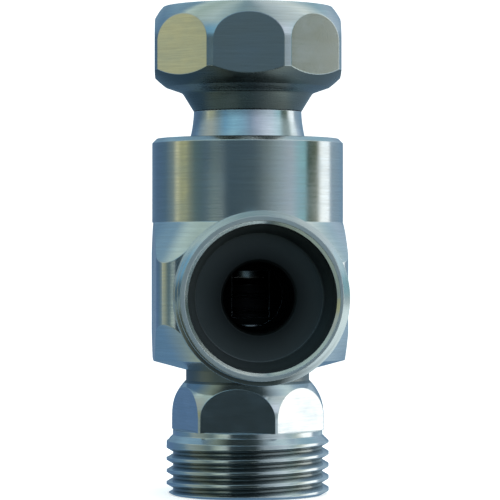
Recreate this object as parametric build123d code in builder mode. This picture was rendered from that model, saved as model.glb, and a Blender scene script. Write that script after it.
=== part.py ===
from build123d import *
import math
import os

# Three way shuttle valve: a square steel block with a swivel union nut above, a screwed adapter below
# and the same adapter on one side. A shuttle inside closes whichever of the upper and lower inlets has
# the lower pressure, so that the other one feeds the side port.
#
# Millimetres. +Z runs up the main axis from the end face of the bottom port. The side port points
# along -Y.

os.makedirs("parts", exist_ok=True)

# ---------------------------------------------------------------- clearances
thread_clearance = 0.05  # crest of a screwed stud to the wall of its tapped hole
slide_clearance = 0.08  # a sliding or turning piece to the wall that guides it
fit_clearance = 0.1  # a ring or a pilot to the bore that it drops into
seal_clearance = 0.06  # a rubber or plastic ring to the sides of its groove
seat_gap = 0.03  # closed shuttle seal to the lip under it

nipple_hole_room = 0.4  # tapped hole past the end of the nipple's thread
stud_hole_room = 0.4  # tapped hole past the end of the side stud
outline_margin = 0.5  # how far cutting outlines run past the metal
thread_overcut = 0.3  # how far a groove cutter stands out of the metal
spare_turns = 2  # turns of plain bar past each end of a groove, trimmed off afterwards

# ---------------------------------------------------------------- metric thread form
flank_tan = math.tan(math.radians(30))
thread_depth_share = 0.54  # depth of an outside thread with a rounded root, over its pitch
inner_depth_share = 0.5413  # depth of an inside thread over its pitch
root_flat_share = 0.17  # flat left at the bottom of the groove over the pitch

# ---------------------------------------------------------------- screwed adapter, used below and at the side
socket_r = 10.1  # takes a 20 mm tube
socket_top = 6.9
socket_floor = 8.9
mouth_cone_angle = 12.0  # half of the 24 degree cone
mouth_chamfer = 0.55
port_wall = 3.4  # socket's wall to the crest of the outside thread, M27 x 2
port_thread_pitch = 2.0
port_bevel_width = 0.9  # bevel at the open end, from the end face out to the crest
port_bevel_height = 0.5
port_thread_end = 8.9  # where the full crest stops
port_thread_shoulder = 1.0  # height of the bevel from the crest down to the collar
port_collar_depth = 1.05  # crest to collar
port_groove_top = 8.9  # where the cutter leaves the thread
port_groove_turns = 5.5
adapter_hex_bottom = 10.7
adapter_hex_across = 22.3
adapter_hex_turn = -12.1  # angle from +X to the nearest corner
adapter_hex_corner_r = 12.75
adapter_hex_round_start = 13.0
adapter_neck_bottom = 18.95
adapter_neck_r = 10.25
adapter_length = 20.7  # end face to the shoulder that meets the block
port_bore_r = 5.6
port_bore_end = 19.0
port_passage_r = 5.0
edge_break = 0.4

# ---------------------------------------------------------------- stud of the adapter
stud_r = 8.0  # M16 x 1.5
stud_pitch = 1.5
stud_length = 5.4
stud_relief_depth = 1.1
stud_relief_length = 1.9
stud_groove_lead = 1.0  # how far the thread's groove runs on into the relief
stud_end_chamfer = 0.7
port_ring_section = 0.8  # radius of the O-ring's section
port_ring_chamber = 0.15  # room outside the O-ring

# ---------------------------------------------------------------- block and round upper body
block_half = 15.65
block_corner_r = 4.3
block_foot_r = 10.35
block_shoulder_r = 16.8
block_skirt_height = 1.75  # rise of the nearly flat underside
block_lower_cone = 6.05
block_corner_height = 10.0
block_upper_cone = 6.6
barrel_r = 15.88
barrel_height = 13.9
barrel_chamfer = 0.75
side_port_height = 12.4  # axis of the side port above the underside of the block

# ---------------------------------------------------------------- shuttle chamber
seat_ring_height = 2.2
seat_bore_r = 4.0
seat_lip_width = 0.75
seat_lip_height = 0.5
seat_lip_slope = 0.5
seat_ring_section = 0.5
chamber_height = 10.0
cage_wall = 1.6
cage_end_ring = 1.2
cage_window_width = 6.0
shuttle_travel = 3.0
shuttle_seal_overlap = 0.55  # face seal past the outer edge of the lip
shuttle_disc_height = 2.6
guide_ring_height = 1.4
guide_ring_depth = 0.9
guide_ring_stand = 0.22  # how far the guide ring stands out of the shuttle
face_seal_thickness = 1.2
screw_shank_r = 2.0
screw_head_room = 0.5  # screw head to the wall of the seat
screw_head_slope = 0.6
screw_head_height = 1.2
screw_length = 1.3  # in the shuttle, past the seal
screw_slot_width = 0.8
screw_slot_depth = 0.5

# ---------------------------------------------------------------- swivel nipple
nipple_thread_step = 1.0  # M18 x 1.5, crest past the crest of the studs
nipple_thread_pitch = 1.5
nipple_thread_length = 9.2
nipple_relief_depth = 1.05
nipple_relief_length = 1.5
nipple_groove_lead = 0.5  # how far the thread's groove runs on into the relief
nipple_bore_r = 5.0
pilot_groove_start = 1.5  # from the lower end of the nipple
pilot_groove_depth = 1.3
pilot_ring_section = 0.6
backup_ring_height = 1.0
collar_step = 0.6  # collar past the crest of the nipple's thread
collar_taper = 0.65
collar_height = 4.5
collar_sag = 0.12  # how far the sides of the collar curve in
nipple_neck_r = 7.75
nut_thread_room = 0.39  # nipple's head to the minor diameter of the nut's thread
swivel_play = 0.35  # how far the nut can slide along the nipple
nipple_head_height = 1.8
nose_step = 0.8  # nipple's head to the base of its nose
nose_height = 6.4
nose_ring_height = 2.9  # middle of the O-ring above the base of the nose
nose_ring_section = 0.75
nose_ring_depth = 1.25
nose_mouth_chamfer = 0.8

# ---------------------------------------------------------------- union nut
nut_gap = 0.1  # nut's lip to the collar under it
nut_across = 30.74
nut_sides = 8
nut_turn = -2.8
nut_corner_trim = 0.24  # turned off each corner
nut_thread_r = 12.0  # M24 x 1.5
nut_thread_pitch = 1.5
nut_height = 17.25
nut_lip_width = 1.17
nut_skirt_height = 3.0
nut_skirt_flare = 1.85
nut_skirt_fillet = 1.2
nut_under_width = 2.75
nut_under_rise = 0.95
nut_lower_round = 2.6  # height of the rounded lower edge
nut_lower_sagitta = 0.1
nut_upper_round = 6.1  # height of the rounded upper edge
nut_upper_width = 2.3
nut_lip_height = 3.2
nut_relief_step = 0.2  # relief past the crest of the thread
nut_relief_length = 2.2
nut_mouth_step = 0.3  # mouth past the crest of the thread

# ---------------------------------------------------------------- stations that follow from the sizes above
block_bottom = adapter_length
side_z = block_bottom + side_port_height
shoulder_z = block_bottom + block_skirt_height
corner_bottom = shoulder_z + block_lower_cone
corner_top = corner_bottom + block_corner_height
barrel_bottom = corner_top + block_upper_cone
barrel_top = barrel_bottom + barrel_height
corner_r = math.sqrt(2) * (block_half - block_corner_r) + block_corner_r
side_face_y = -block_half
side_end_y = side_face_y - adapter_length

cone_tan = math.tan(math.radians(mouth_cone_angle))
mouth_cone_r = socket_r + (socket_top - mouth_chamfer) * cone_tan
port_thread_r = socket_r + port_wall
port_end_r = port_thread_r - port_bevel_width
port_collar_r = port_thread_r - port_collar_depth
stud_relief_r = stud_r - stud_relief_depth

hole_r = stud_r + thread_clearance
ring_r = hole_r - fit_clearance
stud_end = adapter_length + stud_length
cage_bottom = stud_end + seat_ring_height
cage_top = cage_bottom + chamber_height
pilot_end = cage_top + seat_ring_height
cage_inner_r = ring_r - cage_wall
lower_lip_z = cage_bottom + seat_lip_height
upper_lip_z = cage_top - seat_lip_height
shuttle_length = upper_lip_z - lower_lip_z - shuttle_travel - 2 * seat_gap
shuttle_bottom = lower_lip_z + seat_gap
shuttle_top = shuttle_bottom + shuttle_length
seat_lip_r = seat_bore_r + seat_lip_width
shuttle_hub_r = seat_lip_r + shuttle_seal_overlap
screw_head_r = seat_bore_r - screw_head_room
guide_ring_r = cage_inner_r - slide_clearance
shuttle_disc_r = guide_ring_r - guide_ring_stand
chamber_middle = (cage_bottom + cage_top) / 2

nipple_thread_r = stud_r + nipple_thread_step
nipple_relief_r = nipple_thread_r - nipple_relief_depth
collar_bottom_r = nipple_thread_r + collar_step
collar_top_r = collar_bottom_r - collar_taper
nut_minor_r = nut_thread_r - inner_depth_share * nut_thread_pitch
nipple_head_r = nut_minor_r - nut_thread_room
nose_base_r = nipple_head_r - nose_step
collar_top = barrel_top + collar_height
neck_top = collar_top + nut_gap + nut_lip_height + swivel_play
head_bottom = neck_top + nipple_head_r - nipple_neck_r
nose_base = head_bottom + nipple_head_height
nose_top = nose_base + nose_height

nut_bottom = collar_top + nut_gap
nut_top = nut_bottom + nut_height
nut_bore_r = nipple_neck_r + slide_clearance
nut_lip_r = nut_bore_r + nut_lip_width
nut_relief_r = nut_thread_r + nut_relief_step
nut_mouth_r = nut_thread_r + nut_mouth_step
nut_cone_bottom = nut_bottom + nut_lip_height
nut_cone_top = nut_cone_bottom + nut_relief_r - nut_bore_r
nut_corner_r = nut_across / 2 / math.cos(math.pi / nut_sides) - nut_corner_trim
nut_face_r = nut_corner_r - nut_upper_width
nut_skirt_top_r = nut_lip_r + nut_skirt_flare
nut_under_r = nut_skirt_top_r + nut_under_width
nut_skirt_top = nut_bottom + nut_skirt_height
nut_under_z = nut_skirt_top + nut_under_rise
nut_corner_bottom = nut_under_z + nut_lower_round
nut_corner_top = nut_top - nut_upper_round

port_ring_centre_r = stud_relief_r + seal_clearance + port_ring_section
port_ring_room_r = port_ring_centre_r + port_ring_section + port_ring_chamber
port_ring_room = 2 * port_ring_section + 2 * seal_clearance


def groove_profile(root_r, open_r, pitch, height):
    """Cross-section of a 60 degree thread groove on +X, narrow at root_r and open at open_r."""
    root_half = root_flat_share * pitch / 2
    open_half = root_half + flank_tan * abs(open_r - root_r)
    with BuildSketch(Plane.XZ) as profile:
        with Locations((0, height)):
            Polygon(
                (root_r, -root_half),
                (root_r, root_half),
                (open_r, open_half),
                (open_r, -open_half),
                align=None,
            )
    return profile.sketch


def thread_groove(root_r, open_r, pitch, bottom, top):
    """Right-hand helical groove from one height to another, as a solid to be cut away."""
    path = Helix(pitch=pitch, height=top - bottom, radius=(root_r + open_r) / 2, center=(0, 0, bottom))
    profile = groove_profile(root_r, open_r, pitch, bottom)
    return sweep(profile, path=path, is_frenet=True, mode=Mode.PRIVATE)


def o_ring(centre_r, section_r, height):
    """Round-section ring about the main axis."""
    with BuildPart() as ring:
        with BuildSketch(Plane.XZ):
            with Locations((centre_r, height)):
                Circle(section_r)
        revolve(axis=Axis.Z)
    return ring.part


def turned(*points):
    """Solid of revolution about the main axis through (radius, height) points."""
    with BuildPart() as body:
        with BuildSketch(Plane.XZ):
            with BuildLine():
                Polyline(*points, close=True)
            make_face()
        revolve(axis=Axis.Z)
    return body.part


def threaded_blank(crest_r, pitch, groove_bottom, groove_top, outline):
    """Round bar with a helical groove cut in it, trimmed to a turned outline."""
    margin = spare_turns * pitch
    root_r = crest_r - thread_depth_share * pitch
    groove = thread_groove(root_r, crest_r + thread_overcut, pitch, groove_bottom, groove_top)
    with BuildPart() as bar:
        with BuildSketch(Plane.XY.offset(groove_bottom - margin)):
            Circle(crest_r)
        extrude(amount=groove_top - groove_bottom + 2 * margin)
        add(groove, mode=Mode.SUBTRACT)
        add(outline, mode=Mode.INTERSECT)
    return bar.part


# ---------------------------------------------------------------- bottom adapter
port_bevel_slope = port_bevel_height / port_bevel_width
port_shoulder_slope = port_thread_shoulder / port_collar_depth
port_outline = turned(
    (0, 0),
    (port_end_r, 0),
    (port_thread_r + outline_margin, port_bevel_height + outline_margin * port_bevel_slope),
    (port_thread_r + outline_margin, port_thread_end - outline_margin * port_shoulder_slope),
    (port_collar_r, port_thread_end + port_thread_shoulder),
    (port_collar_r, adapter_hex_bottom),
    (0, adapter_hex_bottom),
)
port_thread = threaded_blank(
    port_thread_r,
    port_thread_pitch,
    port_groove_top - port_groove_turns * port_thread_pitch,
    port_groove_top,
    port_outline,
)

stud_relief_top = adapter_length + stud_relief_length
stud_outline = turned(
    (0, adapter_length),
    (stud_relief_r, adapter_length),
    (stud_relief_r, stud_relief_top),
    (stud_r + outline_margin, stud_relief_top + stud_r + outline_margin - stud_relief_r),
    (stud_r + outline_margin, stud_end - stud_end_chamfer - outline_margin),
    (stud_r - stud_end_chamfer, stud_end),
    (0, stud_end),
)
stud_thread = threaded_blank(
    stud_r,
    stud_pitch,
    stud_relief_top - stud_groove_lead,
    stud_end + stud_pitch,
    stud_outline,
)

with BuildPart() as adapter_hex:
    with BuildSketch(Plane.XY.offset(adapter_hex_bottom)):
        RegularPolygon(
            radius=adapter_hex_across / 2,
            side_count=6,
            major_radius=False,
            rotation=adapter_hex_turn,
        )
    extrude(amount=adapter_length - adapter_hex_bottom)
    with BuildSketch(Plane.XZ):
        with BuildLine():
            rounding_height = adapter_neck_bottom - adapter_hex_round_start
            rounding_width = adapter_hex_corner_r - adapter_neck_r
            rounding_r = (rounding_height**2 + rounding_width**2) / (2 * rounding_width)
            Line((0, adapter_hex_bottom), (adapter_hex_corner_r, adapter_hex_bottom))
            Line((adapter_hex_corner_r, adapter_hex_bottom), (adapter_hex_corner_r, adapter_hex_round_start))
            RadiusArc(
                (adapter_hex_corner_r, adapter_hex_round_start),
                (adapter_neck_r, adapter_neck_bottom),
                -rounding_r,
            )
            Line((adapter_neck_r, adapter_neck_bottom), (adapter_neck_r, adapter_length))
            Line((adapter_neck_r, adapter_length), (0, adapter_length))
            Line((0, adapter_length), (0, adapter_hex_bottom))
        make_face()
    revolve(axis=Axis.Z, mode=Mode.INTERSECT)

adapter_hole = turned(
    (0, -outline_margin),
    (mouth_cone_r + mouth_chamfer + outline_margin, -outline_margin),
    (mouth_cone_r, mouth_chamfer),
    (socket_r, socket_top),
    (socket_r, socket_floor),
    (port_bore_r + edge_break, socket_floor),
    (port_bore_r, socket_floor + edge_break),
    (port_bore_r, port_bore_end),
    (port_passage_r, port_bore_end + port_bore_r - port_passage_r),
    (port_passage_r, stud_end + outline_margin),
    (0, stud_end + outline_margin),
)

with BuildPart() as bottom_adapter:
    add(port_thread)
    add(adapter_hex.part)
    add(stud_thread)
    add(adapter_hole, mode=Mode.SUBTRACT)

# ---------------------------------------------------------------- the same adapter in the side port
side_port_place = Location((0, side_end_y, side_z), (-90, 0, 0))

with BuildPart() as side_adapter:
    with Locations(side_port_place):
        add(bottom_adapter.part)

# ---------------------------------------------------------------- O-rings at the foot of each stud
port_ring_z = adapter_length + seal_clearance + port_ring_section

with BuildPart() as bottom_adapter_o_ring:
    add(o_ring(port_ring_centre_r, port_ring_section, port_ring_z))

with BuildPart() as side_adapter_o_ring:
    with Locations(side_port_place):
        add(bottom_adapter_o_ring.part)

# ---------------------------------------------------------------- valve body
lower_cone_slope = block_lower_cone / (corner_r - block_shoulder_r)
upper_cone_slope = block_upper_cone / (corner_r - barrel_r)
block_envelope = turned(
    (0, block_bottom),
    (block_foot_r, block_bottom),
    (block_shoulder_r, shoulder_z),
    (corner_r, corner_bottom),
    (corner_r + outline_margin, corner_bottom + outline_margin * lower_cone_slope),
    (corner_r + outline_margin, corner_top - outline_margin * upper_cone_slope),
    (corner_r, corner_top),
    (barrel_r, barrel_bottom),
    (0, barrel_bottom),
)
nipple_thread_top = barrel_top - nipple_relief_length
nipple_thread_bottom = nipple_thread_top - nipple_thread_length
nipple_hole_r = nipple_thread_r + thread_clearance
nipple_hole_floor = nipple_thread_bottom - nipple_hole_room
body_hole = turned(
    (0, block_bottom - outline_margin),
    (port_ring_room_r, block_bottom - outline_margin),
    (port_ring_room_r, block_bottom + port_ring_room),
    (hole_r, block_bottom + port_ring_room),
    (hole_r, nipple_hole_floor),
    (nipple_hole_r, nipple_hole_floor),
    (nipple_hole_r, barrel_top - edge_break),
    (nipple_hole_r + edge_break + outline_margin, barrel_top + outline_margin),
    (0, barrel_top + outline_margin),
)

with BuildPart() as valve_body:
    with BuildSketch(Plane.XY.offset(block_bottom)):
        RectangleRounded(2 * block_half, 2 * block_half, block_corner_r)
    extrude(amount=barrel_bottom - block_bottom)
    add(block_envelope, mode=Mode.INTERSECT)
    with BuildSketch(Plane.XY.offset(barrel_bottom)):
        Circle(barrel_r)
    extrude(amount=barrel_height)
    chamfer(valve_body.edges().filter_by(GeomType.CIRCLE).sort_by(Axis.Z)[-1], barrel_chamfer)
    add(body_hole, mode=Mode.SUBTRACT)
    with BuildSketch(Plane(origin=(0, side_face_y, side_z), x_dir=(1, 0, 0), z_dir=(0, 1, 0))):
        Circle(port_ring_room_r)
    extrude(amount=port_ring_room, mode=Mode.SUBTRACT)
    with BuildSketch(Plane(origin=(0, side_face_y, side_z), x_dir=(1, 0, 0), z_dir=(0, 1, 0))):
        Circle(hole_r)
    extrude(amount=stud_length + stud_hole_room, mode=Mode.SUBTRACT)
    with BuildSketch(Plane(origin=(0, side_face_y, side_z), x_dir=(1, 0, 0), z_dir=(0, 1, 0))):
        Circle(port_passage_r)
    extrude(amount=block_half, mode=Mode.SUBTRACT)

# ---------------------------------------------------------------- seat rings and their O-rings
seat_groove_r = ring_r - 2 * seat_ring_section
seat_groove_height = 2 * (seat_ring_section + seal_clearance)
seat_groove_bottom = stud_end + (seat_ring_height - seat_groove_height) / 2
seat_o_ring_r = seat_groove_r + seal_clearance + seat_ring_section
upper_side = Plane.XY.offset(chamber_middle)

with BuildPart() as lower_seat_ring:
    add(
        turned(
            (seat_bore_r, stud_end),
            (ring_r, stud_end),
            (ring_r, seat_groove_bottom),
            (seat_groove_r, seat_groove_bottom),
            (seat_groove_r, seat_groove_bottom + seat_groove_height),
            (ring_r, seat_groove_bottom + seat_groove_height),
            (ring_r, cage_bottom),
            (seat_lip_r + seat_lip_slope, cage_bottom),
            (seat_lip_r, lower_lip_z),
            (seat_bore_r, lower_lip_z),
        )
    )

with BuildPart() as lower_seat_o_ring:
    add(o_ring(seat_o_ring_r, seat_ring_section, stud_end + seat_ring_height / 2))

with BuildPart() as upper_seat_ring:
    mirror(lower_seat_ring.part, about=upper_side)

with BuildPart() as upper_seat_o_ring:
    mirror(lower_seat_o_ring.part, about=upper_side)

# ---------------------------------------------------------------- guide cage with a window towards each side
with BuildPart() as guide_cage:
    with BuildSketch(Plane.XY.offset(cage_bottom)):
        Circle(ring_r)
        Circle(cage_inner_r, mode=Mode.SUBTRACT)
    extrude(amount=chamber_height)
    for window_plane in (Plane.XZ, Plane.YZ):
        with BuildSketch(window_plane):
            with Locations((0, chamber_middle)):
                Rectangle(cage_window_width, chamber_height - 2 * cage_end_ring)
        extrude(amount=hole_r, both=True, mode=Mode.SUBTRACT)

# ---------------------------------------------------------------- shuttle, guide ring, face seals, screws
metal_bottom = shuttle_bottom + face_seal_thickness
metal_top = shuttle_top - face_seal_thickness
shuttle_middle = (metal_bottom + metal_top) / 2
disc_bottom = shuttle_middle - shuttle_disc_height / 2
disc_top = shuttle_middle + shuttle_disc_height / 2
guide_groove_r = shuttle_disc_r - guide_ring_depth
guide_groove_bottom = shuttle_middle - guide_ring_height / 2 - seal_clearance
guide_groove_top = shuttle_middle + guide_ring_height / 2 + seal_clearance
screw_hole_r = screw_shank_r + thread_clearance
screw_hole_depth = screw_length + fit_clearance
shuttle_mirror = Plane.XY.offset(shuttle_middle)

with BuildPart() as shuttle:
    add(
        turned(
            (0, metal_bottom + screw_hole_depth),
            (screw_hole_r, metal_bottom + screw_hole_depth),
            (screw_hole_r, metal_bottom),
            (shuttle_hub_r, metal_bottom),
            (shuttle_hub_r, disc_bottom),
            (shuttle_disc_r, disc_bottom),
            (shuttle_disc_r, guide_groove_bottom),
            (guide_groove_r, guide_groove_bottom),
            (guide_groove_r, guide_groove_top),
            (shuttle_disc_r, guide_groove_top),
            (shuttle_disc_r, disc_top),
            (shuttle_hub_r, disc_top),
            (shuttle_hub_r, metal_top),
            (screw_hole_r, metal_top),
            (screw_hole_r, metal_top - screw_hole_depth),
            (0, metal_top - screw_hole_depth),
        )
    )

with BuildPart() as shuttle_guide_ring:
    with BuildSketch(Plane.XY.offset(shuttle_middle - guide_ring_height / 2)):
        Circle(guide_ring_r)
        Circle(guide_groove_r + seal_clearance, mode=Mode.SUBTRACT)
    extrude(amount=guide_ring_height)

with BuildPart() as shuttle_lower_seal:
    with BuildSketch(Plane.XY.offset(shuttle_bottom)):
        Circle(shuttle_hub_r)
        Circle(screw_hole_r, mode=Mode.SUBTRACT)
    extrude(amount=face_seal_thickness)

with BuildPart() as shuttle_upper_seal:
    mirror(shuttle_lower_seal.part, about=shuttle_mirror)

with BuildPart() as lower_seal_screw:
    add(
        turned(
            (0, shuttle_bottom - screw_head_height),
            (screw_head_r - screw_head_slope, shuttle_bottom - screw_head_height),
            (screw_head_r, shuttle_bottom),
            (screw_shank_r, shuttle_bottom),
            (screw_shank_r, metal_bottom + screw_length),
            (0, metal_bottom + screw_length),
        )
    )
    with BuildSketch(Plane.XY.offset(shuttle_bottom - screw_head_height)):
        Rectangle(2 * screw_head_r, screw_slot_width)
    extrude(amount=screw_slot_depth, mode=Mode.SUBTRACT)

with BuildPart() as seal_screws:
    add(lower_seal_screw.part)
    mirror(lower_seal_screw.part, about=shuttle_mirror)

# ---------------------------------------------------------------- swivel nipple and its rings
nipple_outline_r = nipple_thread_r + outline_margin
nipple_thread_outline = turned(
    (0, nipple_thread_bottom),
    (ring_r, nipple_thread_bottom),
    (nipple_outline_r, nipple_thread_bottom + nipple_outline_r - ring_r),
    (nipple_outline_r, nipple_thread_top - nipple_outline_r + nipple_relief_r),
    (nipple_relief_r, nipple_thread_top),
    (nipple_relief_r, barrel_top),
    (0, barrel_top),
)
nipple_thread = threaded_blank(
    nipple_thread_r,
    nipple_thread_pitch,
    nipple_thread_bottom - nipple_thread_pitch,
    nipple_thread_top + nipple_groove_lead,
    nipple_thread_outline,
)
pilot_groove_bottom = pilot_end + pilot_groove_start
pilot_groove_r = ring_r - pilot_groove_depth
pilot_ring_z = pilot_groove_bottom + seal_clearance + pilot_ring_section
backup_bottom = pilot_ring_z + pilot_ring_section + seal_clearance
pilot_groove_top = backup_bottom + backup_ring_height + seal_clearance
pilot = turned(
    (0, pilot_end),
    (ring_r - edge_break, pilot_end),
    (ring_r, pilot_end + edge_break),
    (ring_r, pilot_groove_bottom),
    (pilot_groove_r, pilot_groove_bottom),
    (pilot_groove_r, pilot_groove_top),
    (ring_r, pilot_groove_top),
    (ring_r, nipple_thread_bottom),
    (0, nipple_thread_bottom),
)
nose_ring_z = nose_base + nose_ring_height
nose_groove_r = nose_base_r - nose_ring_height * cone_tan - nose_ring_depth
nose_groove_bottom = nose_ring_z - nose_ring_section - seal_clearance
nose_groove_top = nose_ring_z + nose_ring_section + seal_clearance
nose_top_r = nose_base_r - nose_height * cone_tan
collar_middle_r = (collar_bottom_r + collar_top_r) / 2 - collar_sag

with BuildPart() as swivel_nipple:
    add(pilot)
    add(nipple_thread)
    with BuildSketch(Plane.XZ):
        with BuildLine():
            ThreePointArc(
                (collar_bottom_r, barrel_top),
                (collar_middle_r, barrel_top + collar_height / 2),
                (collar_top_r, collar_top),
            )
            Polyline(
                (collar_top_r, collar_top),
                (nipple_neck_r, collar_top),
                (nipple_neck_r, neck_top),
                (nipple_head_r, head_bottom),
                (nipple_head_r, nose_base),
                (nose_base_r, nose_base),
                (nose_base_r - (nose_groove_bottom - nose_base) * cone_tan, nose_groove_bottom),
                (nose_groove_r, nose_groove_bottom),
                (nose_groove_r, nose_groove_top),
                (nose_base_r - (nose_groove_top - nose_base) * cone_tan, nose_groove_top),
                (nose_top_r + edge_break * cone_tan, nose_top - edge_break),
                (nose_top_r - edge_break, nose_top),
                (0, nose_top),
                (0, barrel_top),
                (collar_bottom_r, barrel_top),
            )
        make_face()
    revolve(axis=Axis.Z)
    with BuildSketch(Plane.XY.offset(pilot_end)):
        Circle(nipple_bore_r)
    extrude(amount=nose_top - pilot_end, mode=Mode.SUBTRACT)
    end_circles = swivel_nipple.edges().filter_by(GeomType.CIRCLE).group_by(Axis.Z)[-1]
    chamfer(end_circles.sort_by(SortBy.RADIUS)[0], nose_mouth_chamfer)

with BuildPart() as nipple_o_ring:
    add(o_ring(pilot_groove_r + seal_clearance + pilot_ring_section, pilot_ring_section, pilot_ring_z))

with BuildPart() as nipple_backup_ring:
    with BuildSketch(Plane.XY.offset(backup_bottom)):
        Circle(ring_r)
        Circle(pilot_groove_r + seal_clearance, mode=Mode.SUBTRACT)
    extrude(amount=backup_ring_height)

with BuildPart() as nose_o_ring:
    add(o_ring(nose_groove_r + seal_clearance + nose_ring_section, nose_ring_section, nose_ring_z))

# ---------------------------------------------------------------- union nut
nut_groove = thread_groove(
    nut_thread_r + thread_clearance,
    nut_minor_r - thread_overcut,
    nut_thread_pitch,
    nut_cone_top + nut_relief_length / 2,
    nut_top + nut_thread_pitch,
)
nut_bore_start = nut_cone_top + thread_overcut
nut_inner_r = nut_minor_r - thread_overcut / 2
nut_blank_top = nut_top + (spare_turns + 1) * nut_thread_pitch

with BuildPart() as union_nut:
    with BuildSketch(Plane.XY.offset(nut_bottom - outline_margin)):
        RegularPolygon(
            radius=nut_across / 2,
            side_count=nut_sides,
            major_radius=False,
            rotation=180 / nut_sides + nut_turn,
        )
    extrude(amount=nut_blank_top - nut_bottom + outline_margin)
    with BuildSketch(Plane.XY.offset(nut_bore_start)):
        Circle(nut_minor_r)
    extrude(amount=nut_blank_top - nut_bore_start, mode=Mode.SUBTRACT)
    add(nut_groove, mode=Mode.SUBTRACT)
    with BuildSketch(Plane.XZ):
        with BuildLine():
            Line((nut_bore_r, nut_bottom), (nut_lip_r, nut_bottom))
            FilletPolyline(
                (nut_lip_r, nut_bottom),
                (nut_skirt_top_r, nut_skirt_top),
                (nut_under_r, nut_under_z),
                radius=nut_skirt_fillet,
            )
            SagittaArc((nut_under_r, nut_under_z), (nut_corner_r, nut_corner_bottom), -nut_lower_sagitta)
            Line((nut_corner_r, nut_corner_bottom), (nut_corner_r, nut_corner_top))
            TangentArc((nut_corner_r, nut_corner_top), (nut_face_r, nut_top), tangent=(0, 1))
            Polyline(
                (nut_face_r, nut_top),
                (nut_mouth_r, nut_top),
                (nut_inner_r, nut_top - nut_mouth_r + nut_inner_r),
                (nut_inner_r, nut_cone_top + nut_relief_length),
                (nut_relief_r, nut_cone_top + nut_relief_length),
                (nut_relief_r, nut_cone_top),
                (nut_bore_r, nut_cone_bottom),
                (nut_bore_r, nut_bottom),
            )
        make_face()
    revolve(axis=Axis.Z, mode=Mode.INTERSECT)

# ---------------------------------------------------------------- files
pieces = {
    "valve_body": valve_body,
    "bottom_adapter": bottom_adapter,
    "side_adapter": side_adapter,
    "bottom_adapter_o_ring": bottom_adapter_o_ring,
    "side_adapter_o_ring": side_adapter_o_ring,
    "swivel_nipple": swivel_nipple,
    "nipple_o_ring": nipple_o_ring,
    "nipple_backup_ring": nipple_backup_ring,
    "nose_o_ring": nose_o_ring,
    "union_nut": union_nut,
    "lower_seat_ring": lower_seat_ring,
    "lower_seat_o_ring": lower_seat_o_ring,
    "upper_seat_ring": upper_seat_ring,
    "upper_seat_o_ring": upper_seat_o_ring,
    "guide_cage": guide_cage,
    "shuttle": shuttle,
    "shuttle_guide_ring": shuttle_guide_ring,
    "shuttle_lower_seal": shuttle_lower_seal,
    "shuttle_upper_seal": shuttle_upper_seal,
    "seal_screws": seal_screws,
}
for piece_name, piece in pieces.items():
    piece.part.label = piece_name
    export_step(piece.part, f"parts/{piece_name}.step")
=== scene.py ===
"""Looks of the three way valve: procedural metals, rubber and PTFE on the CAD nodes, in a pale studio."""
import bpy
import math
from collections import namedtuple
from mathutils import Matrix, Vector


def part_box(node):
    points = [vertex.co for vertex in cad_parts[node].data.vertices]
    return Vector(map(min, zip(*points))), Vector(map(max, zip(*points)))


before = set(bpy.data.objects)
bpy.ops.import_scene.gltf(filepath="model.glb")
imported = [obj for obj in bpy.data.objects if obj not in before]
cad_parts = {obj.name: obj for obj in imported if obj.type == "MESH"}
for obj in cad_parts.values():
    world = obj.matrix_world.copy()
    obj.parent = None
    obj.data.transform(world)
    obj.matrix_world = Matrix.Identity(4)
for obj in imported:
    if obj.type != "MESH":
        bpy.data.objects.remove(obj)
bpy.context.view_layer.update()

MM = 0.001

# ---------------------------------------------------------------- places taken from the frame
side_low, side_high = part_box("side_adapter")
side_axis_z = (side_low.z + side_high.z) / 2
side_mouth = side_low.y / MM
nut_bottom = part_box("union_nut")[0].z / MM
nipple_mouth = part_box("swivel_nipple")[1].z / MM
MAIN_AXIS = (0.0, 0.0, 0.0)
SIDE_AXIS = (0.0, 0.0, side_axis_z)
AXES = {"Z": (0.0, 0.0, 1.0), "Y": (0.0, 1.0, 0.0)}

# ---------------------------------------------------------------- camera
EYE_HEIGHT = 40.54 * MM
EYE_DISTANCE = 446 * MM
EYE_AZIMUTH = math.radians(-3.7)
LENS = 192.9
SENSOR_WIDTH = 36.0
SHIFT_X = 0.0048
TOWARDS_EYE = (math.sin(EYE_AZIMUTH), -math.cos(EYE_AZIMUTH), 0.0)
RIGHT_OF_EYE = (math.cos(EYE_AZIMUTH), math.sin(EYE_AZIMUTH), 0.0)

# ---------------------------------------------------------------- studio, as rings of cards around the object
# Each ring lists (degrees to the right of TOWARDS_EYE, colour) at one height. The stops are chosen
# so that the steel reflects dark, pale and tan bands. They stay where they are when the camera moves.
EYE_RING = (
    (-180, (0.16, 0.25, 0.36)),
    (-140, (0.09, 0.16, 0.25)),
    (-116, (0.09, 0.16, 0.22)),
    (-100, (0.22, 0.28, 0.26)),
    (-94, (0.70, 0.68, 0.43)),
    (-87, (0.38, 0.39, 0.21)),
    (-80, (0.42, 0.43, 0.24)),
    (-74, (0.22, 0.25, 0.18)),
    (-66, (0.09, 0.15, 0.15)),
    (-50, (0.07, 0.12, 0.16)),
    (-40, (0.10, 0.15, 0.16)),
    (-28, (0.065, 0.105, 0.13)),
    (6, (0.085, 0.13, 0.15)),
    (24, (0.16, 0.21, 0.21)),
    (38, (0.28, 0.36, 0.37)),
    (54, (0.42, 0.48, 0.52)),
    (64, (0.30, 0.52, 0.56)),
    (73, (0.26, 0.50, 0.53)),
    (77, (0.03, 0.06, 0.05)),
    (92, (0.05, 0.08, 0.03)),
    (99, (1.20, 1.25, 1.20)),
    (114, (1.25, 1.30, 1.28)),
    (119, (0.32, 0.42, 0.48)),
    (150, (0.22, 0.34, 0.44)),
    (180, (0.16, 0.25, 0.36)),
)
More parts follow.
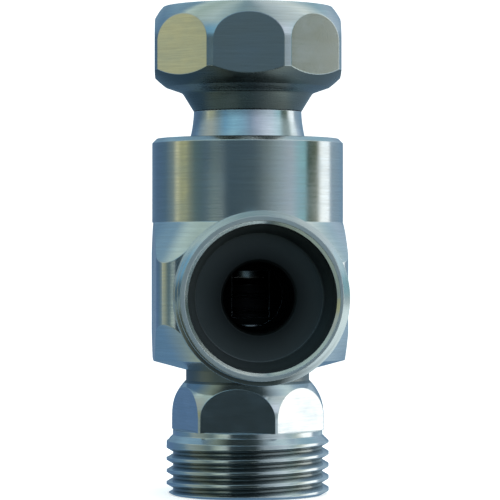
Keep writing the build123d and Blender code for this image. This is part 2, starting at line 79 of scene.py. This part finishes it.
LOW_RING = (
    (-180, (0.16, 0.25, 0.36)),
    (-140, (0.11, 0.20, 0.34)),
    (-104, (0.13, 0.24, 0.32)),
    (-90, (0.28, 0.36, 0.36)),
    (-70, (0.24, 0.30, 0.27)),
    (-56, (0.14, 0.21, 0.22)),
    (-42, (0.60, 0.72, 0.60)),
    (-30, (0.66, 0.76, 0.70)),
    (-25, (0.02, 0.03, 0.035)),
    (12, (0.015, 0.025, 0.025)),
    (24, (0.42, 0.50, 0.54)),
    (54, (0.70, 0.78, 0.82)),
    (66, (0.34, 0.43, 0.45)),
    (80, (0.60, 0.68, 0.60)),
    (95, (1.65, 1.65, 1.55)),
    (114, (1.65, 1.65, 1.60)),
    (119, (0.32, 0.42, 0.50)),
    (150, (0.40, 0.54, 0.62)),
    (180, (0.16, 0.25, 0.36)),
)
HIGH_RING = (
    (-180, (0.20, 0.32, 0.42)),
    (-130, (0.14, 0.26, 0.38)),
    (-104, (0.34, 0.42, 0.42)),
    (-84, (0.42, 0.46, 0.40)),
    (-66, (0.26, 0.36, 0.38)),
    (-50, (0.18, 0.38, 0.52)),
    (-30, (0.28, 0.54, 0.66)),
    (-10, (0.26, 0.46, 0.58)),
    (6, (0.26, 0.36, 0.46)),
    (20, (0.44, 0.50, 0.60)),
    (46, (0.72, 0.80, 0.88)),
    (70, (0.60, 0.80, 0.84)),
    (82, (0.30, 0.38, 0.36)),
    (98, (0.36, 0.44, 0.42)),
    (106, (1.10, 1.20, 1.15)),
    (120, (0.90, 1.00, 1.00)),
    (128, (0.52, 0.64, 0.74)),
    (180, (0.20, 0.32, 0.42)),
)
TOP_RING = (
    (-180, (0.32, 0.52, 0.62)),
    (-114, (0.20, 0.34, 0.44)),
    (-102, (0.56, 0.70, 0.64)),
    (-84, (0.42, 0.54, 0.48)),
    (-50, (0.52, 0.64, 0.60)),
    (-12, (0.24, 0.36, 0.38)),
    (16, (0.28, 0.38, 0.40)),
    (50, (0.56, 0.64, 0.64)),
    (100, (0.85, 0.92, 0.86)),
    (130, (0.34, 0.52, 0.60)),
    (180, (0.32, 0.52, 0.62)),
)
FLOOR_RING = (
    (-180, (0.12, 0.22, 0.33)),
    (-110, (0.13, 0.25, 0.38)),
    (-75, (0.34, 0.40, 0.30)),
    (-48, (0.03, 0.04, 0.04)),
    (30, (0.04, 0.06, 0.06)),
    (56, (0.70, 0.80, 0.80)),
    (76, (1.00, 1.15, 1.10)),
    (88, (1.00, 1.15, 1.10)),
    (104, (0.50, 0.66, 0.76)),
    (180, (0.12, 0.22, 0.33)),
)
# (sine of the height above eye level, ring), from straight down to where the last ring takes over
RINGS = (
    (-1.00, FLOOR_RING),
    (-0.16, FLOOR_RING),
    (-0.085, LOW_RING),
    (-0.035, LOW_RING),
    (0.000, EYE_RING),
    (0.140, EYE_RING),
    (0.230, HIGH_RING),
    (0.400, HIGH_RING),
    (0.600, TOP_RING),
)


class Tree:
    """Short way to add nodes to a tree and join them."""

    def __init__(self, owner):
        owner.use_nodes = True
        self.nodes = owner.node_tree.nodes
        self.links = owner.node_tree.links
        self.nodes.clear()

    def plug(self, socket, value):
        """Link another node's output to a socket, or set the socket to a plain value."""
        if isinstance(value, bpy.types.NodeSocket):
            self.links.new(value, socket)
        else:
            socket.default_value = value

    def add(self, kind, settings=None, **inputs):
        node = self.nodes.new(kind)
        for name, value in (settings or {}).items():
            setattr(node, name, value)
        for name, value in inputs.items():
            self.plug(node.inputs[name.replace("_", " ")], value)
        return node

    def math(self, operation, *values):
        node = self.add("ShaderNodeMath", {"operation": operation})
        for socket, value in zip(node.inputs, values):
            self.plug(socket, value)
        return node.outputs[0]

    def scaled(self, value, factor):
        return self.math("MULTIPLY", value, factor)

    def vector(self, operation, first, second, result="Vector"):
        node = self.add("ShaderNodeVectorMath", {"operation": operation})
        self.plug(node.inputs[0], first)
        self.plug(node.inputs[1], second)
        return node.outputs[result]

    def dot(self, first, second):
        return self.vector("DOT_PRODUCT", first, second, "Value")

    def packed(self, x, y, z):
        return self.add("ShaderNodeCombineXYZ", X=x, Y=y, Z=z).outputs[0]

    def spread(self, value, low, high, to_low=0.0, to_high=1.0):
        """Value from low to high, carried over to to_low to to_high and held there outside."""
        ends = {"From_Min": low, "From_Max": high, "To_Min": to_low, "To_Max": to_high}
        return self.add("ShaderNodeMapRange", {"clamp": True}, Value=value, **ends).outputs["Result"]

    def mix(self, factor, first, second):
        node = self.add("ShaderNodeMix", {"data_type": "RGBA"})
        for socket, value in ((node.inputs[0], factor), (node.inputs[6], first), (node.inputs[7], second)):
            self.plug(socket, value)
        return node.outputs[2]

    def noise(self, vector, scale, detail=3.0, roughness=0.55):
        node = self.add("ShaderNodeTexNoise", Vector=vector, Scale=scale, Detail=detail, Roughness=roughness)
        return node.outputs["Fac"]

    def own_place(self):
        """Place on the object, in metres in its own coordinates."""
        return self.add("ShaderNodeTexCoord").outputs["Object"]

    def show(self, shader, output="ShaderNodeOutputMaterial"):
        self.add(output, Surface=shader.outputs[0])


def colour(red, green, blue):
    return (red, green, blue, 1.0)


def darker(base, share):
    return colour(*(share * part for part in base))


# ---------------------------------------------------------------- world light
def ring_colour(tree, position, stops):
    ramp = tree.add("ShaderNodeValToRGB", Fac=position)
    elements = ramp.color_ramp.elements
    while len(elements) > 1:
        elements.remove(elements[-1])
    elements[0].position = 0.0
    elements[0].color = colour(*stops[0][1])
    for degrees, shade in stops[1:]:
        element = elements.new((degrees + 180) / 360)
        element.color = colour(*shade)
    return ramp.outputs["Color"]


def build_world():
    """Light from all round: the colour goes by turn within a ring, and from ring to ring by height."""
    world = bpy.data.worlds.new("studio")
    bpy.context.scene.world = world
    tree = Tree(world)
    direction = tree.add("ShaderNodeTexCoord").outputs["Generated"]
    turn = tree.math("ARCTAN2", tree.dot(direction, RIGHT_OF_EYE), tree.dot(direction, TOWARDS_EYE))
    position = tree.spread(turn, -math.pi, math.pi)
    height = tree.dot(direction, AXES["Z"])
    shades = {}
    for _, ring in RINGS:
        if ring not in shades:
            shades[ring] = ring_colour(tree, position, ring)
    sky = shades[RINGS[0][1]]
    for (low, lower), (high, upper) in zip(RINGS, RINGS[1:]):
        if upper is not lower:
            sky = tree.mix(tree.spread(height, low, high), sky, shades[upper])
    tree.show(tree.add("ShaderNodeBackground", Color=sky, Strength=1.0), "ShaderNodeOutputWorld")


# ---------------------------------------------------------------- surface coordinates
Lathe = namedtuple("Lathe", "radius turn height")


def lathe_coordinates(tree, centre, along):
    """Radius and height in millimetres and turn in turns, about an axis, from the object's coordinates."""
    offset = tree.vector("SUBTRACT", tree.own_place(), centre)
    split = tree.add("ShaderNodeSeparateXYZ", Vector=offset).outputs
    across = split["X"]
    up, height = (split["Y"], split["Z"]) if along == "Z" else (split["Z"], split["Y"])
    squares = tree.math("ADD", tree.math("MULTIPLY", across, across), tree.math("MULTIPLY", up, up))
    return Lathe(
        radius=tree.math("DIVIDE", tree.math("SQRT", squares), MM),
        turn=tree.math("DIVIDE", tree.math("ARCTAN2", up, across), math.tau),
        height=tree.math("DIVIDE", height, MM),
    )


# ---------------------------------------------------------------- metal, in millimetres
# A bore with painted shade inside: radius at the mouth's edge and further in, the depth where one becomes the
# other, the height of the mouth on its axis, and which way the bore runs from there.
# A thread: the middle of its run with painted shade in the grooves, on its axis, and half the run's length.
Bore = namedtuple("Bore", "edge_radius inner_radius inner_depth mouth way")
Thread = namedtuple("Thread", "middle half_run")

LINE_SCALE = 1.15
LINE_DEPTH = 0.004
SPECK_DEPTH = 0.006
RUBBED_STEEL = colour(0.93, 0.95, 0.96)

# Painted shade inside bores: none at the mouth, full further in, black near the middle and grey near the
# wall.
UNSHADED_MOUTH_DEPTH, DARK_DEPTH = 0.45, 1.6
BORE_STEP = 0.3
WALL_FADE = 0.1
FACED_END_DEPTH, FACED_END_GONE = 0.03, 0.08
BLACK_RADIUS, DARK_RADIUS, GREY_RADIUS = 5.9, 9.9, 10.8
BLACK_BORE_SHADE = colour(0.012, 0.015, 0.015)
DARK_BORE_SHADE = colour(0.13, 0.14, 0.14)
GREY_BORE_SHADE = colour(0.34, 0.38, 0.39)

# Painted shade in the grooves of outside threads, between root and crest radius and outside the mouth's wall.
THREAD_ROOT, THREAD_CREST = 12.4, 13.3
MOUTH_WALL, MOUTH_WALL_OUTSIDE = 12.1, 12.2
RUN_FADE = 0.2
THREAD_GROOVE_SHADE = colour(0.10, 0.12, 0.11)

# Painted shade on faces that look down, low on the nut.
UNDERSIDE_SHADE_FADE = 0.6
UNDERSIDE_SHADE_COLOUR = colour(0.07, 0.085, 0.08)


def lathe_lines(tree, skin, facing):
    """Fine and coarse lines round the axis. Radius counts only on end faces, so flats get straight lines."""
    radius = tree.math("MULTIPLY", skin.radius, facing)
    fine_radius, fine_height = (tree.scaled(value, LINE_SCALE) for value in (radius, skin.height))
    fine = tree.noise(tree.packed(fine_radius, tree.scaled(skin.turn, 5.0), fine_height), 2.6, 4.0, 0.7)
    coarse = tree.noise(tree.packed(radius, tree.scaled(skin.turn, 2.2), skin.height), 1.7)
    return fine, coarse


def stain_patches(tree, skin):
    radius, height = (tree.scaled(value, 0.16) for value in (skin.radius, skin.height))
    return tree.noise(tree.packed(radius, tree.scaled(skin.turn, 9.0), height), 1.6, 5.0, 0.6)


def worn_edges(tree, rounded, flat, stains):
    """How far an edge is rubbed bright: most where it is sharp, unevenly along its length."""
    edge = tree.spread(tree.math("SUBTRACT", 1.0, tree.dot(rounded, flat)), 0.01, 0.16)
    return tree.math("MULTIPLY", edge, tree.spread(stains, 0.3, 0.6, 0.35, 1.0))


def painted_bore_shade(tree, shade, rough, skin, bore):
    """Painted shade inside a bore: black towards the middle and deeper in, paler towards the wall, with a
    duller faced end round it.
    """
    depth = tree.scaled(tree.math("SUBTRACT", skin.height, bore.mouth), bore.way)
    deep = tree.spread(depth, UNSHADED_MOUTH_DEPTH, DARK_DEPTH)
    step_end = bore.inner_depth + BORE_STEP
    wall = tree.spread(depth, bore.inner_depth, step_end, bore.edge_radius, bore.inner_radius)
    inside = tree.spread(tree.math("SUBTRACT", wall, skin.radius), 0.0, WALL_FADE)
    hollow = tree.math("MULTIPLY", deep, inside)
    bore_shade = tree.mix(tree.spread(skin.radius, BLACK_RADIUS, DARK_RADIUS), BLACK_BORE_SHADE, DARK_BORE_SHADE)
    bore_shade = tree.mix(tree.spread(skin.radius, DARK_RADIUS, GREY_RADIUS), bore_shade, GREY_BORE_SHADE)
    rough = tree.math("ADD", rough, tree.scaled(hollow, 0.22))
    faced_end = tree.spread(depth, FACED_END_DEPTH, FACED_END_GONE, 1.0, 0.0)
    rough = tree.math("ADD", rough, tree.scaled(faced_end, 0.42))
    return tree.mix(tree.scaled(hollow, 0.96), shade, bore_shade), rough


def painted_thread_shade(tree, shade, skin, thread):
    """Painted shade in the grooves of an outside thread."""
    groove = tree.spread(skin.radius, THREAD_ROOT, THREAD_CREST, 1.0, 0.0)
    outside = tree.spread(skin.radius, MOUTH_WALL, MOUTH_WALL_OUTSIDE)
    from_middle = tree.math("ABSOLUTE", tree.math("SUBTRACT", skin.height, thread.middle))
    along_run = tree.spread(from_middle, thread.half_run, thread.half_run - RUN_FADE)
    groove_shade = tree.math("MULTIPLY", tree.math("MULTIPLY", groove, outside), along_run)
    return tree.mix(tree.scaled(groove_shade, 0.75), shade, THREAD_GROOVE_SHADE)


def painted_underside_shade(tree, shade, rough, skin, flat, top):
    """Painted shade on faces that look down, up to the height called top."""
    sheltered = tree.spread(tree.dot(flat, AXES["Z"]), -0.12, -0.42)
    low_down = tree.spread(skin.height, top, top + UNDERSIDE_SHADE_FADE, 1.0, 0.0)
    dark = tree.math("MULTIPLY", sheltered, low_down)
    rough = tree.math("ADD", rough, tree.scaled(dark, 0.12))
    return tree.mix(tree.scaled(dark, 0.88), shade, UNDERSIDE_SHADE_COLOUR), rough


def metal(
    name,
    centre=MAIN_AXIS,
    along="Z",
    base=(0.78, 0.815, 0.835),
    tint=(0.66, 0.73, 0.80),
    roughness=0.11,
    edge_radius=0.22,
    bore=None,
    thread=None,
    underside_shade_top=None,
):
    """Turned and plated steel: lathe lines, faint stains, rubbed edges and, where asked, painted shade in
    bores, in thread grooves and on faces that look down.
    """
    material = bpy.data.materials.new(name)
    tree = Tree(material)
    skin = lathe_coordinates(tree, centre, along)
    flat = tree.add("ShaderNodeNewGeometry").outputs["Normal"]
    rounded = tree.add("ShaderNodeBevel", {"samples": 6}, Radius=edge_radius * MM).outputs["Normal"]
    fine, coarse = lathe_lines(tree, skin, tree.math("ABSOLUTE", tree.dot(flat, AXES[along])))
    stains = stain_patches(tree, skin)
    worn = worn_edges(tree, rounded, flat, stains)

    shade = tree.mix(tree.spread(stains, 0.34, 0.66), colour(*base), colour(*tint))
    shade = tree.mix(tree.scaled(tree.spread(coarse, 0.35, 0.7), 0.3), shade, darker(base, 0.8))
    shade = tree.mix(tree.scaled(tree.spread(fine, 0.3, 0.7), 0.5), shade, darker(base, 0.66))
    shade = tree.mix(tree.scaled(worn, 0.75), shade, RUBBED_STEEL)
    rough = tree.math("ADD", roughness, tree.spread(fine, 0.3, 0.75, 0.0, 0.07))
    rough = tree.math("ADD", rough, tree.spread(stains, 0.3, 0.7, -0.02, 0.05))
    if bore is not None:
        shade, rough = painted_bore_shade(tree, shade, rough, skin, bore)
    if thread is not None:
        shade = painted_thread_shade(tree, shade, skin, thread)
    if underside_shade_top is not None:
        shade, rough = painted_underside_shade(tree, shade, rough, skin, flat, underside_shade_top)

    lines = tree.add("ShaderNodeBump", Strength=1.0, Distance=LINE_DEPTH * MM, Height=fine, Normal=rounded)
    specks = tree.noise(tree.own_place(), 2400.0, 2.0)
    relief = {"Height": specks, "Normal": lines.outputs["Normal"]}
    bump = tree.add("ShaderNodeBump", Strength=0.35, Distance=SPECK_DEPTH * MM, **relief)
    look = {"Base_Color": shade, "Roughness": rough, "Normal": bump.outputs["Normal"]}
    tree.show(tree.add("ShaderNodeBsdfPrincipled", Metallic=1.0, **look))
    return material


# ---------------------------------------------------------------- rubber and PTFE
def soft_skin(name, base, worn, roughness, grain_scale, grain_depth, specular):
    """Moulded or turned seal: a matt skin with fine grain, a faint bloom and uneven gloss."""
    material = bpy.data.materials.new(name)
    tree = Tree(material)
    place = tree.own_place()
    grain = tree.noise(place, grain_scale, 4.0, 0.65)
    bloom = tree.noise(place, grain_scale * 0.12)
    shade = tree.mix(tree.spread(bloom, 0.35, 0.7), colour(*base), colour(*worn))
    shade = tree.mix(tree.scaled(grain, 0.25), shade, darker(base, 0.7))
    rough = tree.spread(bloom, 0.3, 0.7, roughness - 0.08, roughness + 0.1)
    bump = tree.add("ShaderNodeBump", Strength=0.8, Distance=grain_depth * MM, Height=grain)
    look = {"Base_Color": shade, "Roughness": rough, "Normal": bump.outputs["Normal"]}
    tree.show(tree.add("ShaderNodeBsdfPrincipled", Specular_IOR_Level=specular, **look))
    return material


rubber = soft_skin("nitrile_rubber", (0.018, 0.018, 0.019), (0.032, 0.032, 0.034), 0.5, 2600.0, 0.02, 0.4)
ptfe = soft_skin("seal_plastic", (0.80, 0.78, 0.72), (0.74, 0.71, 0.64), 0.42, 1800.0, 0.01, 0.45)
# Near-black plastic for the shuttle's guide ring: painted shade for the inside of the valve.
guide_ring_painted_shade = soft_skin(
    "guide_ring_plastic_painted_shade", (0.020, 0.021, 0.022), (0.028, 0.028, 0.029), 0.5, 1800.0, 0.01, 0.3
)

# ---------------------------------------------------------------- which piece has which material
SOCKET = {"edge_radius": 12.05, "inner_radius": 10.7, "inner_depth": 9.3}
NIPPLE_BORE = {"edge_radius": 5.2, "inner_radius": 5.2, "inner_depth": 9.3}
THREAD_MIDDLE = 4.9
THREAD_HALF = 4.4
ADAPTER_EDGE = 0.15
NUT_UNDERSIDE_SHADE_HEIGHT = 7
SEAT_STEEL = {"base": (0.70, 0.70, 0.70), "tint": (0.62, 0.62, 0.63)}
# Near-black colour for the cage and shuttle: painted shade for the inside of the valve.
INSIDE_PAINTED_SHADE = {"base": (0.025, 0.028, 0.028), "tint": (0.018, 0.02, 0.02)}
materials = {
    "valve_body": metal("body_steel"),
    "bottom_adapter": metal(
        "bottom_fitting_steel",
        edge_radius=ADAPTER_EDGE,
        bore=Bore(mouth=0.0, way=1.0, **SOCKET),
        thread=Thread(THREAD_MIDDLE, THREAD_HALF),
    ),
    "side_adapter": metal(
        "side_fitting_steel",
        centre=SIDE_AXIS,
        along="Y",
        edge_radius=ADAPTER_EDGE,
        bore=Bore(mouth=side_mouth, way=1.0, **SOCKET),
        thread=Thread(side_mouth + THREAD_MIDDLE, THREAD_HALF),
    ),
    "swivel_nipple": metal(
        "nipple_steel",
        base=(0.78, 0.82, 0.86),
        bore=Bore(mouth=nipple_mouth, way=-1.0, **NIPPLE_BORE),
    ),
    "union_nut": metal(
        "nut_steel",
        base=(0.76, 0.79, 0.80),
        roughness=0.10,
        edge_radius=0.25,
        # painted shade on the nut's downward faces up to this height
        underside_shade_top=nut_bottom + NUT_UNDERSIDE_SHADE_HEIGHT,
    ),
    "lower_seat_ring": metal("lower_seat_steel", **SEAT_STEEL),
    "upper_seat_ring": metal("upper_seat_steel", **SEAT_STEEL),
    "guide_cage": metal("cage_steel", roughness=0.55, **INSIDE_PAINTED_SHADE),
    "shuttle": metal("shuttle_steel", roughness=0.5, **INSIDE_PAINTED_SHADE),
    "seal_screws": metal("screw_steel", base=(0.68, 0.67, 0.64), tint=(0.58, 0.57, 0.54), edge_radius=0.1),
    "nipple_backup_ring": ptfe,
    "shuttle_guide_ring": guide_ring_painted_shade,
}
for node_name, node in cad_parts.items():
    material = materials.get(node_name, rubber)
    for slot in node.material_slots:
        slot.material = material


# ---------------------------------------------------------------- floor and backdrop
def pale_stage(name, glow, speckle):
    """Nearly white matt stage that glows by itself, with faint speckle."""
    material = bpy.data.materials.new(name)
    tree = Tree(material)
    grain = tree.noise(tree.own_place(), 40.0)
    shade = tree.mix(tree.scaled(grain, speckle), colour(0.90, 0.90, 0.90), colour(0.84, 0.85, 0.86))
    shine = {"Emission_Color": colour(0.97, 0.98, 0.99), "Emission_Strength": glow}
    matt = {"Roughness": 0.9, "Specular_IOR_Level": 0.0}
    tree.show(tree.add("ShaderNodeBsdfPrincipled", Base_Color=shade, **matt, **shine))
    return material


def seen_by_camera_only(obj):
    obj.visible_glossy = False
    obj.visible_diffuse = False
    obj.visible_shadow = False
    obj.visible_transmission = False


STAGE_RADIUS = 2.0
FLOOR_RADIUS = 0.32
bpy.ops.mesh.primitive_circle_add(vertices=96, radius=FLOOR_RADIUS, fill_type="NGON")
floor = bpy.context.object
floor.name = "floor"
floor.data.materials.append(pale_stage("pale_floor", 0.6, 0.5))
seen_by_camera_only(floor)

bpy.ops.mesh.primitive_uv_sphere_add(segments=64, ring_count=32, radius=STAGE_RADIUS)
backdrop = bpy.context.object
backdrop.name = "backdrop"
backdrop.data.materials.append(pale_stage("pale_backdrop", 1.0, 0.0))
seen_by_camera_only(backdrop)


# ---------------------------------------------------------------- lights
def softbox(name, place, aim, size, power, shade):
    lamp = bpy.data.lights.new(name, "AREA")
    lamp.shape = "RECTANGLE"
    lamp.size = size[0]
    lamp.size_y = size[1]
    lamp.energy = power
    lamp.color = shade
    box = bpy.data.objects.new(name, lamp)
    bpy.context.scene.collection.objects.link(box)
    box.location = place
    box.rotation_euler = (Vector(aim) - Vector(place)).to_track_quat("-Z", "Y").to_euler()
    box.visible_glossy = False
    return box


middle = Vector((0.0, 0.0, EYE_HEIGHT))
softbox("top_light", (0.05, -0.12, 0.75), middle, (0.5, 0.5), 4.0, (1.0, 0.99, 0.97))

# ---------------------------------------------------------------- camera and colour
camera_data = bpy.data.cameras.new("camera")
camera_data.lens = LENS
camera_data.sensor_width = SENSOR_WIDTH
camera_data.shift_x = SHIFT_X
camera_data.clip_start = 0.01
camera_data.clip_end = 50.0
camera = bpy.data.objects.new("camera", camera_data)
bpy.context.scene.collection.objects.link(camera)
camera.location = middle + Vector(TOWARDS_EYE) * EYE_DISTANCE
camera.rotation_euler = (middle - camera.location).to_track_quat("-Z", "Y").to_euler()
bpy.context.scene.camera = camera

build_world()
scene = bpy.context.scene
scene.view_settings.view_transform = "Standard"
scene.view_settings.look = "None"
